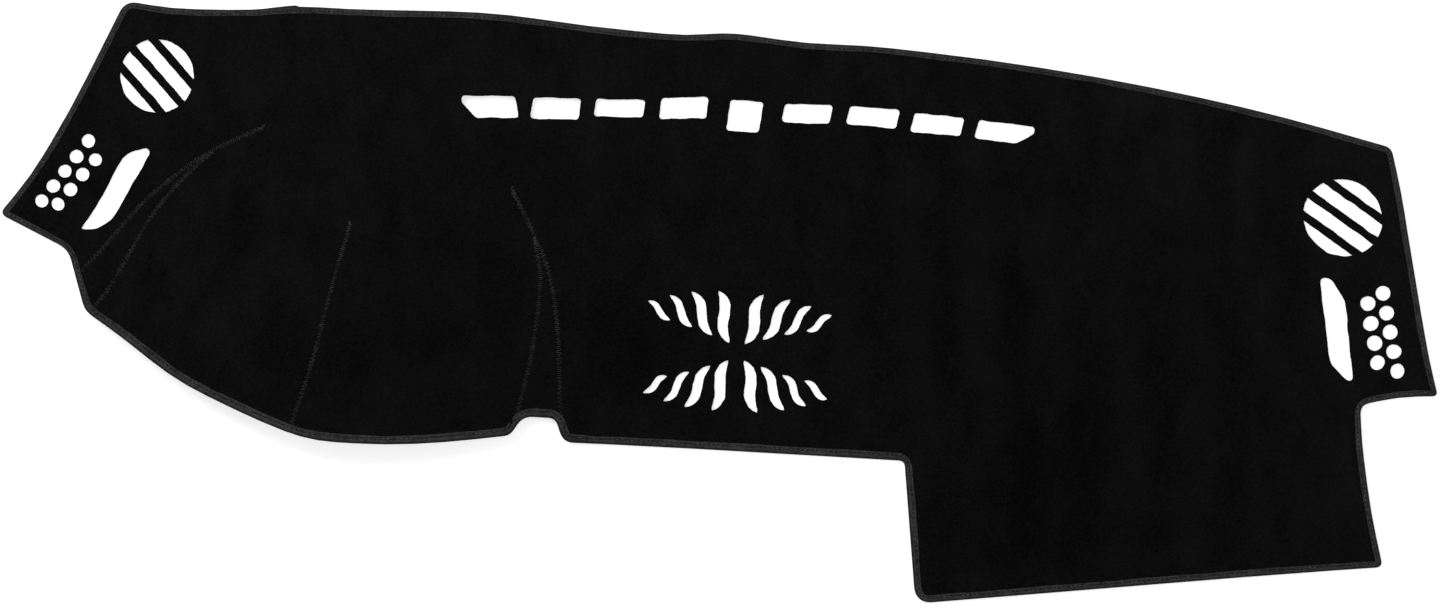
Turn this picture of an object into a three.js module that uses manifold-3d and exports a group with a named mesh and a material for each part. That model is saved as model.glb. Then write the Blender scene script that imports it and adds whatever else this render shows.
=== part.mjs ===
// Dashboard cover mat for a left-hand-drive car, lying on a flat surface with its pile up.
// A sheet of short-pile fabric is cut to the top of the dashboard, with openings for the windscreen
// demister, the light sensor, the side demisters and three loudspeakers. Two wedge-shaped gussets and a
// dart raise its front edge into an arch over the instruments, a folded tape binds the edge all round,
// and thread holds the gussets, the darts and the tape.
// Millimetres. X runs along the dashboard towards the passenger's side, Y towards the windscreen and
// Z up. The origin is the middle of the mat's outer box, on the surface it lies on.
import * as THREE from "three";
import { mergeVertices } from "three/addons/utils/BufferGeometryUtils.js";
import Module from "manifold-3d";

const wasm = await Module();
wasm.setup();

// Overall plan
const MAT_LENGTH = 1435;
const MAT_DEPTH = 600;
const driverEnd = -MAT_LENGTH / 2;
const passengerEnd = MAT_LENGTH / 2;
const windscreenLine = MAT_DEPTH / 2;
const flapLine = -MAT_DEPTH / 2;

// Sheet, edge tape and thread
const FABRIC_THICKNESS = 3;
const TAPE_THICKNESS = 0.8;
const TAPE_WIDTH = 8;
const SEWN_CLEARANCE = 0.3;
const THREAD_HEIGHT = 0.6;
const SEAM_WIDTH = 2.4;
const EDGE_STITCH_INSET = 5.4;
const EDGE_STITCH_WIDTH = 1.2;

// Arch over the instruments: a fan about a point near the windscreen, in degrees from the X axis
const ARCH_RISE = 52;
const ARCH_DRIVER_ANGLE = 149;
const ARCH_CONSOLE_ANGLE = 68;
const ARCH_START = 105;
const ARCH_FULL = 345;
const ARCH_ROUNDNESS = 1.4;
const RIM_DROOP = 0.16;
const RIM_REACH = 445;
const archCentre = new THREE.Vector2(driverEnd + 428, windscreenLine - 18);

// Slack that stands off the surface between the arch and the windscreen
const SLACK_RISE = 7;
const SLACK_LENGTH = 300;
const SLACK_DEPTH = 130;
const slackCentre = new THREE.Vector2(driverEnd + 400, windscreenLine - 105);

// Fineness of the curved sheet, of round corners and of the cut shapes
const GRID_STEP = 30;
const CHORD_ERROR = 0.25;
const SLOT_STEPS = 8;
const BAND_ARC_STEPS = 6;
const DOT_SIDES = 12;
const SEAM_STEPS = 20;

// Reach of the solids that cut the sheet, past it in plan and above and below it
const SHEET_MARGIN = 10;
const PRISM_REACH = 200;

// A corner is [x, y, radius]. A soft one is rounded as far as its neighbours allow, which is this
// share of each edge.
const SOFT = 1e4;
const ROOM_SHARE = 0.49;

// Finished edge, from the windscreen corner on the driver's side, clockwise seen from above
const CONSOLE_LINE = -142.7;
const FLAP_WIDTH = 467;
const flapRight = passengerEnd - 55;
const flapLeft = flapRight - FLAP_WIDTH;
const NOTCH_WIDTH = 40;
const NOTCH_DEPTH = 26.5;
const notchRight = driverEnd + 558;
const notchLeft = notchRight - NOTCH_WIDTH;
const finishedEdge = [
  [driverEnd + 123, windscreenLine + 1.5, 15],
  [driverEnd + 170, windscreenLine - 6.5, SOFT],
  [driverEnd + 250, windscreenLine - 8, SOFT],
  [driverEnd + 296, windscreenLine - 3.5, SOFT],
  [driverEnd + 345, windscreenLine - 7, SOFT],
  [-225, windscreenLine - 10, SOFT],
  [-130, windscreenLine - 24.5, SOFT],
  [-33, windscreenLine - 33.5, SOFT],
  [10, windscreenLine - 30, SOFT],
  [88, windscreenLine - 41.5, SOFT],
  [145, windscreenLine - 43, SOFT],
  [260, windscreenLine - 56, SOFT],
  [375, windscreenLine - 74, SOFT],
  [480, windscreenLine - 95, SOFT],
  [565, windscreenLine - 115, SOFT],
  [passengerEnd - 46, windscreenLine - 145.5, 10],
  [passengerEnd - 36, windscreenLine - 190, SOFT],
  [passengerEnd - 23, windscreenLine - 273, SOFT],
  [passengerEnd - 8, windscreenLine - 358, SOFT],
  [passengerEnd + 0.5, windscreenLine - 394, 3],
  [passengerEnd - 40, windscreenLine - 395, SOFT],
  [passengerEnd - 77, windscreenLine - 403, 9],
  [passengerEnd - 75.5, windscreenLine - 440, SOFT],
  [flapRight - 11.5, flapLine + 90, SOFT],
  [flapRight + 0.5, flapLine + 35, 5],
  [flapRight - 95, flapLine + 28.5, SOFT],
  [flapLeft, flapLine - 1.5, 15],
  [flapLeft - 11, CONSOLE_LINE - 16, 5],
  [notchRight + 92, CONSOLE_LINE - 1.5, SOFT],
  [notchRight + 3, CONSOLE_LINE + 2.5, 13],
  [notchRight - 5, CONSOLE_LINE + NOTCH_DEPTH, 8],
  [notchLeft + 3, CONSOLE_LINE + NOTCH_DEPTH + 2, 15],
  [notchLeft - 10, CONSOLE_LINE + 9.5, 12],
  [driverEnd + 443, CONSOLE_LINE + 2.5, SOFT],
  [driverEnd + 383, CONSOLE_LINE, SOFT],
  [driverEnd + 308, CONSOLE_LINE + 4.5, SOFT],
  [driverEnd + 258, CONSOLE_LINE + 24, SOFT],
  [driverEnd + 175, CONSOLE_LINE + 64, SOFT],
  [driverEnd + 120, CONSOLE_LINE + 108, SOFT],
  [driverEnd + 83, CONSOLE_LINE + 134, 22],
  [driverEnd + 66, CONSOLE_LINE + 195.5, 22],
  [driverEnd - 2.8, windscreenLine - 211.5, 5],
  [driverEnd + 29, windscreenLine - 173, SOFT],
  [driverEnd + 68, windscreenLine - 108, SOFT],
];

// Windscreen demister slots and the light sensor's window
const OPENING_CORNER = 2.5;
const OPENING_LEAN = 1.5;
const windscreenOpenings = [
  { x: -229.5, y: 195.2, width: 53, height: 21.5, turn: -1, lean: -2.5, cutLeft: 13 },
  { x: -164, y: 193.5, width: 48, height: 21, turn: -1 },
  { x: -100, y: 194, width: 49, height: 17.5, turn: -1 },
  { x: -36, y: 194, width: 47, height: 21, turn: 1 },
  { x: 25, y: 186, width: 33, height: 31, turn: -4 },
  { x: 87.5, y: 188.5, width: 48, height: 18.5, turn: -2 },
  { x: 153, y: 185, width: 50, height: 18.5, turn: -5 },
  { x: 217.5, y: 177.5, width: 50.5, height: 19, turn: -5 },
  { x: 284.5, y: 169.5, width: 56, height: 18.5, turn: -7, cutRight: 15 },
];

// Round loudspeaker openings, left as four bands between three bars and stretched along them
const BAR_WIDTH = 8.5;
const BAND_WIDTH = 12.6;
const speakers = [
  { x: driverEnd + 155, y: windscreenLine - 73.8, radius: 36.6, stretch: 1.01, turn: -48.6 },
  { x: passengerEnd - 94.5, y: windscreenLine - 215.5, radius: 37.4, stretch: 1.08, turn: -35.6 },
];

// Side demister slots
const sideSlots = [
  [
    [driverEnd + 145, windscreenLine - 145, 4],
    [driverEnd + 148, windscreenLine - 150.5, 3],
    [driverEnd + 110.5, windscreenLine - 216.5, 22],
    [driverEnd + 94, windscreenLine - 227, 12],
    [driverEnd + 78.5, windscreenLine - 227, 1],
    [driverEnd + 95, windscreenLine - 203.5, SOFT],
    [driverEnd + 122, windscreenLine - 152, 24],
  ],
  [
    [passengerEnd - 118, windscreenLine - 274.5, 6],
    [passengerEnd - 107, windscreenLine - 276, 10],
    [passengerEnd - 92.5, windscreenLine - 299, 2],
    [passengerEnd - 84, windscreenLine - 383.5, 3],
    [passengerEnd - 107, windscreenLine - 362, 26],
  ],
];

// Perforations beside the side slots: a long and a short row of dots on each wing
const DOTS_IN_LONG_ROW = 5;
const dotBlocks = [
  {
    radius: 6.7,
    longRow: [[driverEnd + 86.1, windscreenLine - 139], [driverEnd + 39.5, windscreenLine - 198.8]],
    shortRow: [[driverEnd + 93.2, windscreenLine - 157.4], [driverEnd + 55.8, windscreenLine - 202]],
  },
  {
    radius: 7.5,
    longRow: [[passengerEnd - 54.4, windscreenLine - 291.2], [passengerEnd - 40, windscreenLine - 368.8]],
    shortRow: [[passengerEnd - 69.8, windscreenLine - 301.5], [passengerEnd - 59.8, windscreenLine - 360.6]],
  },
];

// Centre loudspeaker: S-shaped slots in four ranks that fan out from the middle, in two halves
const GRILLE_X = 16.6;
const GRILLE_Y = -49.8;
const grilleHalves = [
  { side: 1, turn: -4.6 },
  { side: -1, turn: -2 },
];
const slotRanks = [
  { near: [8, 8.5], far: [22.5, 59.5], sway: 3.7, width: 11.8 },
  { near: [25.5, 14.5], far: [49.5, 56.5], sway: 3.4, width: 10.2 },
  { near: [46.5, 21.5], far: [71, 51.5], sway: 2.8, width: 8.2 },
  { near: [68.5, 26.5], far: [92, 44], sway: 2.1, width: 6.8 },
];

// Seams, from their inner ends to just past the front edge
const driverSeam = [
  [driverEnd + 262, windscreenLine - 125],
  [driverEnd + 213, windscreenLine - 147],
  [driverEnd + 176, windscreenLine - 171],
  [driverEnd + 139, windscreenLine - 202.5],
  [driverEnd + 101, windscreenLine - 245.5],
  [driverEnd + 71, windscreenLine - 277],
];
const driverInnerSeam = [
  [driverEnd + 209, windscreenLine - 149.5],
  [driverEnd + 176, windscreenLine - 181.5],
  [driverEnd + 148, windscreenLine - 216],
  [driverEnd + 122, windscreenLine - 261],
  [driverEnd + 105, windscreenLine - 289],
  [driverEnd + 83, windscreenLine - 316],
];
const consoleSeam = [
  [driverEnd + 509, windscreenLine - 186],
  [driverEnd + 528, windscreenLine - 224],
  [driverEnd + 547, windscreenLine - 272],
  [driverEnd + 556, windscreenLine - 337],
  [notchRight, windscreenLine - 430],
];
const consoleInnerSeam = [
  [driverEnd + 532.5, windscreenLine - 236],
  [driverEnd + 538, windscreenLine - 275],
  [driverEnd + 534, windscreenLine - 322],
  [driverEnd + 526, windscreenLine - 368],
  [driverEnd + 510, windscreenLine - 430],
];
const dartSeam = [
  [driverEnd + 349, windscreenLine - 221],
  [driverEnd + 330, windscreenLine - 287],
  [driverEnd + 311, windscreenLine - 360],
  [driverEnd + 284, windscreenLine - 440],
];

// Materials
const pile = new THREE.MeshStandardMaterial({ color: 0x0c0c0c, roughness: 1, metalness: 0 });
const tape = new THREE.MeshStandardMaterial({ color: 0x2f2f2f, roughness: 0.85, metalness: 0 });
const thread = new THREE.MeshStandardMaterial({ color: 0x1c1c1c, roughness: 0.7, metalness: 0 });

const degrees = THREE.MathUtils.degToRad;

// Height of the sheet's underside above its lowest level, at a point of the plan
function lift(x, y) {
  const outward = new THREE.Vector2(x, y).sub(archCentre);
  const angle = THREE.MathUtils.radToDeg(Math.atan2(-outward.y, outward.x));
  const span = (angle - ARCH_CONSOLE_ANGLE) / (ARCH_DRIVER_ANGLE - ARCH_CONSOLE_ANGLE);
  const across = THREE.MathUtils.clamp(span, 0, 1);
  const arch = (1 - (2 * across - 1) ** 2) ** ARCH_ROUNDNESS;
  const reach = outward.length();
  const along = THREE.MathUtils.smootherstep(reach, ARCH_START, ARCH_FULL);
  const droop = 1 - RIM_DROOP * THREE.MathUtils.smoothstep(reach, ARCH_FULL, RIM_REACH);
  const offX = (x - slackCentre.x) / SLACK_LENGTH;
  const offY = (y - slackCentre.y) / SLACK_DEPTH;
  const slack = Math.max(0, 1 - offX ** 2 - offY ** 2) ** 2;
  return ARCH_RISE * arch * along * droop + SLACK_RISE * slack;
}

// The two edges that meet at a corner, both pointing away from it, and the turn between them
function cornerAt(corners, i) {
  const [here, before, after] = [i, i - 1, i + 1].map((k) => {
    const [x, y] = corners.at(k % corners.length);
    return new THREE.Vector2(x, y);
  });
  const back = before.sub(here);
  const ahead = after.sub(here);
  return { here, back, ahead, turn: Math.PI - back.angleTo(ahead) };
}

// Corners with their radii limited to the room between them, and the steps of each arc
function settled(corners) {
  return corners.map(([x, y, radius], i) => {
    const { back, ahead, turn } = cornerAt(corners, i);
    const room = ROOM_SHARE * Math.min(back.length(), ahead.length());
    const fitted = Math.min(radius, room / Math.tan(turn / 2));
    const steps = Math.ceil(turn / (2 * Math.acos(1 - Math.min(CHORD_ERROR / fitted, 0.5))));
    return [x, y, fitted, steps];
  });
}

// Corners moved inwards by a distance, each edge staying parallel to itself and each arc keeping its
// centre. Loops run clockwise, so the inside is on the right of each edge.
function moved(corners, distance) {
  return corners.map(([, , radius, steps], i) => {
    const { here, back, ahead, turn } = cornerAt(corners, i);
    const before = back.negate().normalize();
    const after = ahead.normalize();
    const bend = Math.sign(before.cross(after));
    const inwards = new THREE.Vector2(before.y + after.y, -before.x - after.x);
    const corner = here.addScaledVector(inwards, distance / (1 + Math.cos(turn)));
    return [corner.x, corner.y, Math.max(radius + bend * distance, 0), steps];
  });
}

// A closed loop of points through rounded corners
function roundedLoop(corners) {
  return corners.flatMap(([, , radius, steps], i) => {
    const { here, back, ahead, turn } = cornerAt(corners, i);
    if (radius === 0) {
      return [here];
    }
    const start = here.clone().addScaledVector(back.normalize(), radius * Math.tan(turn / 2));
    const inwards = back.clone().add(ahead.normalize()).normalize();
    const middle = here.addScaledVector(inwards, radius / Math.cos(turn / 2));
    const spoke = start.sub(middle);
    const sweep = Math.sign(ahead.cross(back)) * turn;
    return Array.from({ length: steps + 1 }, (_, k) =>
      spoke.clone().rotateAround(new THREE.Vector2(), (sweep * k) / steps).add(middle),
    );
  });
}

// A solid from a closed three.js geometry
function solidOf(geometry) {
  const bare = new THREE.BufferGeometry();
  bare.setAttribute("position", geometry.getAttribute("position"));
  bare.setIndex(geometry.getIndex());
  const merged = mergeVertices(bare, 1e-4);
  const mesh = new wasm.Mesh({
    numProp: 3,
    vertProperties: new Float32Array(merged.getAttribute("position").array),
    triVerts: new Uint32Array(merged.getIndex().array),
  });
  return new wasm.Manifold(mesh);
}

// A tall upright prism over a loop of points
function prism(loop) {
  const geometry = new THREE.ExtrudeGeometry(new THREE.Shape(loop), {
    depth: 2 * PRISM_REACH,
    bevelEnabled: false,
  });
  return solidOf(geometry.translate(0, 0, -PRISM_REACH));
}

// A sheet that follows the mat's surface, between two heights above the fabric's underside
function layer(low, high) {
  const length = MAT_LENGTH + 2 * SHEET_MARGIN;
  const depth = MAT_DEPTH + 2 * SHEET_MARGIN;
  const across = Math.round(length / GRID_STEP);
  const along = Math.round(depth / GRID_STEP);
  const positions = [];
  const faces = [];
  for (const level of [high, low]) {
    for (let row = 0; row <= along; row++) {
      for (let column = 0; column <= across; column++) {
        const x = (column / across - 0.5) * length;
        const y = (row / along - 0.5) * depth;
        positions.push(x, y, lift(x, y) + level);
      }
    }
  }
  const under = (across + 1) * (along + 1);
  const at = (column, row) => row * (across + 1) + column;
  const quad = (a, b, c, d) => faces.push(a, b, c, a, c, d);
  for (let row = 0; row < along; row++) {
    for (let column = 0; column < across; column++) {
      const [a, b] = [at(column, row), at(column + 1, row)];
      const [c, d] = [at(column + 1, row + 1), at(column, row + 1)];
      faces.push(a, b, c, a, c, d, under + a, under + c, under + b, under + a, under + d, under + c);
    }
    quad(at(0, row), at(0, row + 1), under + at(0, row + 1), under + at(0, row));
    quad(at(across, row + 1), at(across, row), under + at(across, row), under + at(across, row + 1));
  }
  for (let column = 0; column < across; column++) {
    quad(at(column + 1, 0), at(column, 0), under + at(column, 0), under + at(column + 1, 0));
    quad(at(column, along), at(column + 1, along), under + at(column + 1, along), under + at(column, along));
  }
  const geometry = new THREE.BufferGeometry();
  geometry.setAttribute("position", new THREE.Float32BufferAttribute(positions, 3));
  geometry.setIndex(faces);
  return solidOf(geometry);
}

// A four-sided opening with leaning ends; an end opening has its lower outer corner cut off
function windowLoop({ x, y, width, height, turn, lean = OPENING_LEAN, cutLeft, cutRight }) {
  const right = width / 2;
  const top = height / 2;
  const corners = [[lean - right, top], [right + lean, top]];
  if (cutRight) {
    corners.push([right + lean, top - height / 3], [right - cutRight, -top]);
  } else {
    corners.push([right - lean, -top]);
  }
  if (cutLeft) {
    corners.push([cutLeft - right, -top], [lean - right, top - height / 3]);
  } else {
    corners.push([-right - lean, -top]);
  }
  const placed = corners.map(([dx, dy]) => {
    const corner = new THREE.Vector2(dx, dy).rotateAround(new THREE.Vector2(), degrees(turn));
    return [corner.x + x, corner.y + y, OPENING_CORNER];
  });
  return roundedLoop(settled(placed));
}

// One band of a round opening, between two chords at these distances from its middle
function bandLoop({ x, y, radius, stretch, turn }, low, high) {
  const [lowAngle, highAngle] = [low, high].map((chord) => Math.asin(Math.min(chord / radius, 1)));
  const arc = (from, to) =>
    Array.from({ length: BAND_ARC_STEPS + 1 }, (_, k) => {
      const angle = from + ((to - from) * k) / BAND_ARC_STEPS;
      return new THREE.Vector2(radius * stretch * Math.cos(angle), radius * Math.sin(angle));
    });
  const loop = arc(lowAngle, highAngle);
  const closing = arc(Math.PI - highAngle, Math.PI - lowAngle);
  loop.push(...(high < radius ? closing : closing.slice(1)));
  const centre = new THREE.Vector2(x, y);
  return loop.map((point) => point.rotateAround(new THREE.Vector2(), degrees(turn)).add(centre));
}

function speakerLoops(speaker) {
  const innerEdge = BAR_WIDTH / 2;
  const outerEdge = innerEdge + BAND_WIDTH;
  const bands = [
    [innerEdge, outerEdge],
    [outerEdge + BAR_WIDTH, speaker.radius],
  ];
  return bands.flatMap(([low, high]) => [
    bandLoop(speaker, low, high),
    bandLoop({ ...speaker, turn: speaker.turn + 180 }, low, high),
  ]);
}

// The dots of one wing, evenly spaced between the two ends of each row
function dotLoops({ radius, longRow, shortRow }) {
  const row = ([from, to], count) =>
    Array.from({ length: count }, (_, k) => {
      const share = k / (count - 1);
      const centre = new THREE.Vector2(...from).lerp(new THREE.Vector2(...to), share);
      return new THREE.Path().absarc(centre.x, centre.y, radius, 0, 2 * Math.PI).getPoints(DOT_SIDES / 2);
    });
  return [...row(longRow, DOTS_IN_LONG_ROW), ...row(shortRow, DOTS_IN_LONG_ROW - 1)];
}

// An S-shaped slot between two points
function slotLoop(near, far, sway, width) {
  const chord = far.clone().sub(near);
  const normal = new THREE.Vector2(-chord.y, chord.x).normalize();
  const edge = (side) =>
    Array.from({ length: SLOT_STEPS }, (_, k) => {
      const angle = (Math.PI * (side > 0 ? k : SLOT_STEPS - k)) / SLOT_STEPS;
      const share = (1 - Math.cos(angle)) / 2;
      const half = (side * width * Math.sqrt(Math.sin(Math.PI * share))) / 2;
      const shift = sway * Math.sin(2 * Math.PI * share) + half;
      return near.clone().addScaledVector(chord, share).addScaledVector(normal, shift);
    });
  return [...edge(1), ...edge(-1)];
}

function grilleLoops() {
  const centre = new THREE.Vector2(GRILLE_X, GRILLE_Y);
  const loops = [];
  for (const { side, turn } of grilleHalves) {
    for (const hand of [-1, 1]) {
      for (const { near, far, sway, width } of slotRanks) {
        const [from, to] = [near, far].map(([dx, dy]) => {
          const end = new THREE.Vector2(hand * dx, side * dy);
          return end.rotateAround(new THREE.Vector2(), degrees(turn)).add(centre);
        });
        loops.push(slotLoop(from, to, -sway * hand * side, width));
      }
    }
  }
  return loops;
}

// Points along a smooth line through a seam's points
function seamPoints(points) {
  return new THREE.SplineCurve(points.map(([x, y]) => new THREE.Vector2(x, y))).getPoints(SEAM_STEPS);
}

// The wedge between two seams, which meet at the second one's inner end
function gussetLoop(outerSeam, innerSeam, inset) {
  const inner = seamPoints(innerSeam);
  const tip = inner[0];
  const outer = seamPoints(outerSeam).filter((point) => point.y < tip.y);
  const corners = [...outer.reverse(), ...inner].map((point) => [point.x, point.y, 0]);
  const clockwise = THREE.ShapeUtils.isClockWise(corners.map(([x, y]) => new THREE.Vector2(x, y)));
  const ordered = clockwise ? corners : corners.reverse();
  return moved(ordered, inset).map(([x, y]) => new THREE.Vector2(x, y));
}

// A narrow strip along a seam
function seamLoop(seam, width) {
  const points = seamPoints(seam);
  const edge = (side) =>
    points.map((point, i) => {
      const along = points[Math.min(i + 1, SEAM_STEPS)].clone().sub(points[Math.max(i - 1, 0)]).normalize();
      return new THREE.Vector2(-along.y, along.x).multiplyScalar((side * width) / 2).add(point);
    });
  return [...edge(1), ...edge(-1).reverse()];
}

// Fabric
const settledEdge = settled(finishedEdge);
const edgeInset = (distance) => roundedLoop(moved(settledEdge, distance));
const openings = [
  ...windscreenOpenings.map(windowLoop),
  ...speakers.flatMap(speakerLoops),
  ...sideSlots.map((corners) => roundedLoop(settled(corners))),
  ...dotBlocks.flatMap(dotLoops),
  ...grilleLoops(),
];
const fabricInset = TAPE_THICKNESS + SEWN_CLEARANCE;
const cutSheet = layer(0, FABRIC_THICKNESS).intersect(prism(edgeInset(fabricInset)));
const piercedSheet = openings.reduce((sheet, loop) => sheet.subtract(prism(loop)), cutSheet);
const gussetSeams = {
  hood_gusset_driver: [driverSeam, driverInnerSeam],
  hood_gusset_console: [consoleSeam, consoleInnerSeam],
};
let panel = piercedSheet;
const gussets = {};
for (const [name, [outerSeam, innerSeam]] of Object.entries(gussetSeams)) {
  panel = panel.subtract(prism(gussetLoop(outerSeam, innerSeam, 0)));
  gussets[name] = piercedSheet.intersect(prism(gussetLoop(outerSeam, innerSeam, SEWN_CLEARANCE)));
}

// Folded tape round the edge, and the row of stitches that holds it
const tapeOverhang = TAPE_THICKNESS + SEWN_CLEARANCE;
const tapeTop = FABRIC_THICKNESS + tapeOverhang;
const tapeSleeve = layer(-SEWN_CLEARANCE, FABRIC_THICKNESS + SEWN_CLEARANCE).intersect(
  prism(edgeInset(TAPE_THICKNESS)),
);
const binding = layer(-tapeOverhang, tapeTop)
  .intersect(prism(edgeInset(0)))
  .subtract(prism(edgeInset(TAPE_WIDTH)))
  .subtract(tapeSleeve);
const edgeStitches = layer(tapeTop + SEWN_CLEARANCE, tapeTop + SEWN_CLEARANCE + THREAD_HEIGHT)
  .intersect(prism(edgeInset(EDGE_STITCH_INSET)))
  .subtract(prism(edgeInset(EDGE_STITCH_INSET + EDGE_STITCH_WIDTH)));

// Seam thread on the fabric, up to the tape
const threadLow = FABRIC_THICKNESS + SEWN_CLEARANCE;
const threadLayer = layer(threadLow, threadLow + THREAD_HEIGHT).intersect(
  prism(edgeInset(TAPE_WIDTH + SEWN_CLEARANCE)),
);
const seamThread = (seam) => threadLayer.intersect(prism(seamLoop(seam, SEAM_WIDTH)));
const branchThread = (seam, mainSeam) =>
  seamThread(seam).subtract(prism(seamLoop(mainSeam, SEAM_WIDTH + 2 * SEWN_CLEARANCE)));
const seamThreads = {
  seam_driver_outer: seamThread(driverSeam),
  seam_driver_inner: branchThread(driverInnerSeam, driverSeam),
  seam_dart: seamThread(dartSeam),
  seam_console_outer: seamThread(consoleSeam),
  seam_console_inner: branchThread(consoleInnerSeam, consoleSeam),
};

// A solid as a named mesh
function meshOf(name, solid, material) {
  const { numProp, numVert, vertProperties, triVerts } = solid.getMesh();
  const positions = new Float32Array(numVert * 3);
  for (let i = 0; i < numVert; i++) {
    positions.set(vertProperties.subarray(i * numProp, i * numProp + 3), i * 3);
  }
  const geometry = new THREE.BufferGeometry();
  geometry.setAttribute("position", new THREE.BufferAttribute(positions, 3));
  geometry.setIndex(new THREE.BufferAttribute(triVerts, 1));
  geometry.computeVertexNormals();
  const mesh = new THREE.Mesh(geometry, material);
  mesh.name = name;
  return mesh;
}

const mat = new THREE.Group();
mat.add(meshOf("mat_panel", panel, pile));
for (const [name, gusset] of Object.entries(gussets)) {
  mat.add(meshOf(name, gusset, pile));
}
mat.add(meshOf("edge_binding", binding, tape));
mat.add(meshOf("edge_stitching", edgeStitches, thread));
for (const [name, seamSolid] of Object.entries(seamThreads)) {
  mat.add(meshOf(name, seamSolid, thread));
}

// The tape's underside lies on Z = 0, and the outer box is centred on the origin
const box = new THREE.Box3().setFromObject(mat);
const middle = box.getCenter(new THREE.Vector3());
mat.position.set(-middle.x, -middle.y, -box.min.z);

export default mat;
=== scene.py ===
# Dashboard cover mat: short-pile fabric, folded edge tape and sewn seams, lying on a pale floor
import math

import bpy
import numpy as np
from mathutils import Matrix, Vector
from mathutils.bvhtree import BVHTree
from mathutils.geometry import delaunay_2d_cdt
from mathutils.kdtree import KDTree


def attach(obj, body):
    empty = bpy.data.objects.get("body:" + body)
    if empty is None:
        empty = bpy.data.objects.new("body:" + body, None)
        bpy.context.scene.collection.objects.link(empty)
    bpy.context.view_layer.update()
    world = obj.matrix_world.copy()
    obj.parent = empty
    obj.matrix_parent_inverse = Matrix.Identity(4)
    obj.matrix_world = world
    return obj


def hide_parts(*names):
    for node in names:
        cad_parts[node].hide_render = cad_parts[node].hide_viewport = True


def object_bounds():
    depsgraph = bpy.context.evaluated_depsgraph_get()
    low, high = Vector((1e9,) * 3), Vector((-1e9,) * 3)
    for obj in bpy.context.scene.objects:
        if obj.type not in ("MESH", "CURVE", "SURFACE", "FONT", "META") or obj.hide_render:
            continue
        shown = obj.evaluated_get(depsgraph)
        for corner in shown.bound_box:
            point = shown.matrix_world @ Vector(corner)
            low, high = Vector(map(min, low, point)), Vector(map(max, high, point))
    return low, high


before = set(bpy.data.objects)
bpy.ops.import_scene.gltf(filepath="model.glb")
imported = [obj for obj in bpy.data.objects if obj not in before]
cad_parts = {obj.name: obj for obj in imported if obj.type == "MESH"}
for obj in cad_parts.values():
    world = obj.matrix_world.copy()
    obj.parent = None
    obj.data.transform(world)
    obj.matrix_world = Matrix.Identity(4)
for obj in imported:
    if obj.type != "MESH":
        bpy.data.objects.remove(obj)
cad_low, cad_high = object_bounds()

MM = 0.001

# Fabric, tape and thread, as in the frame's solids, and how far the tape stays off the floor
PILE_THICKNESS = 3 * MM
TAPE_STANDOFF = 1.1 * MM
TAPE_WIDTH = 8 * MM
STITCH_LINE = 5.2 * MM
FLOOR_CLEARANCE = 0.03 * MM

# The least rise of a face that looks up, the sides of a rim that are too short to keep, the turn
# of a sharp corner, and the weights that ease a loop without making it smaller
UPWARD = 0.3
SHORT_SIDE = 0.3 * MM
SHARP_TURN = math.radians(50)
EASING = (0.5, -0.53, 0.5, -0.53)

# Fineness of the meshes and of the level
EDGE_STEP = 1.9 * MM
FIELD_STEP = 6.5 * MM
FIELD_GAP = 3.4 * MM
SEAM_POINT_GAP = 1.2 * MM
TAPE_STEP = 2.6 * MM
RING_STEP = 0.7 * MM
SEAM_STEP = 1.5 * MM
SEAM_POINTS = 80
LEVEL_STEP = 8 * MM
LEVEL_SMOOTHING = 1.6

# Rows of points inside the pile's soft cut edge, how far to one side the nearest point of a rim is
# taken to lie, and the least distance from a rim
EDGE_ROWS = (0.5 * MM, 1.6 * MM)
BESIDE_POINT = 0.55 * EDGE_STEP / 2
LEAST_GAP = 0.35 * MM

# Where the cut edge's middle lies in the thickness, how ragged and how uneven the cut is, and how
# far the cloths press into each other at a seam
EDGE_MIDDLE = 0.42
RAGGED_EDGE = 0.08 * MM
UNEVEN_CUT = 0.24 * MM
SEAM_PRESS = 0.4 * MM

# Sewn valley along a seam: the rows of points beside it, its depth and half width, the rise beside
# it, how far it reaches, and its pucker
SEAM_ROWS = (0, 1.6 * MM, 3.4 * MM, 6 * MM)
SEAM_DEPTH = 0.85 * MM
SEAM_HALF_WIDTH = 2.6 * MM
SEAM_PUFF = 0.7 * MM
SEAM_REACH = 16 * MM
PUCKER_PITCH = 11 * MM
PUCKER_DEPTH = 0.3

# Ripples that a rolled-up mat keeps, as upright folds in plan: pitch, place of a trough and depth
RIPPLE_PITCH = 70 * MM
RIPPLE_TROUGH = 160 * MM
RIPPLE_DEPTH = 1.5 * MM

# Lighter and darker marks on the pile, in millimetres: the middle and the half sizes of each in plan, and
# how much lighter it is. The long narrow dark marks from x 162 to 510 lie in the ripples' troughs and are
# painted shade there; the rest are patches in the nap.
NAP_AND_FOLD_SHADE_MARKS = (
    (320, -185, 62, 85, -0.75),
    (365, -95, 22, 60, -0.45),
    (296, -20, 14, 80, -0.6),
    (-98, -40, 48, 56, -0.75),
    (-480, 72, 28, 28, -0.5),
    (-440, -30, 36, 26, -0.5),
    (-370, -58, 26, 18, -0.45),
    (-292, -36, 46, 20, -0.5),
    (-220, 15, 22, 55, -0.5),
    (-326, 60, 10, 60, -0.3),
    (-84, 105, 16, 28, -0.4),
    (-32, 88, 16, 18, -0.5),
    (-230, 130, 18, 18, -0.35),
    (162, 0, 12, 100, -0.35),
    (226, -40, 14, 90, -0.35),
    (438, -110, 16, 80, -0.45),
    (510, -130, 14, 90, -0.45),
    (432, -225, 26, 18, -0.5),
    (220, -215, 18, 24, -0.4),
    (450, 130, 26, 42, 0.7),
    (526, 125, 12, 60, 0.6),
    (-128, 225, 12, 50, 0.5),
    (-640, 190, 50, 90, -0.1),
    (415, 200, 40, 14, 0.6),
    (-225, 195, 60, 22, 0.3),
)

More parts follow.
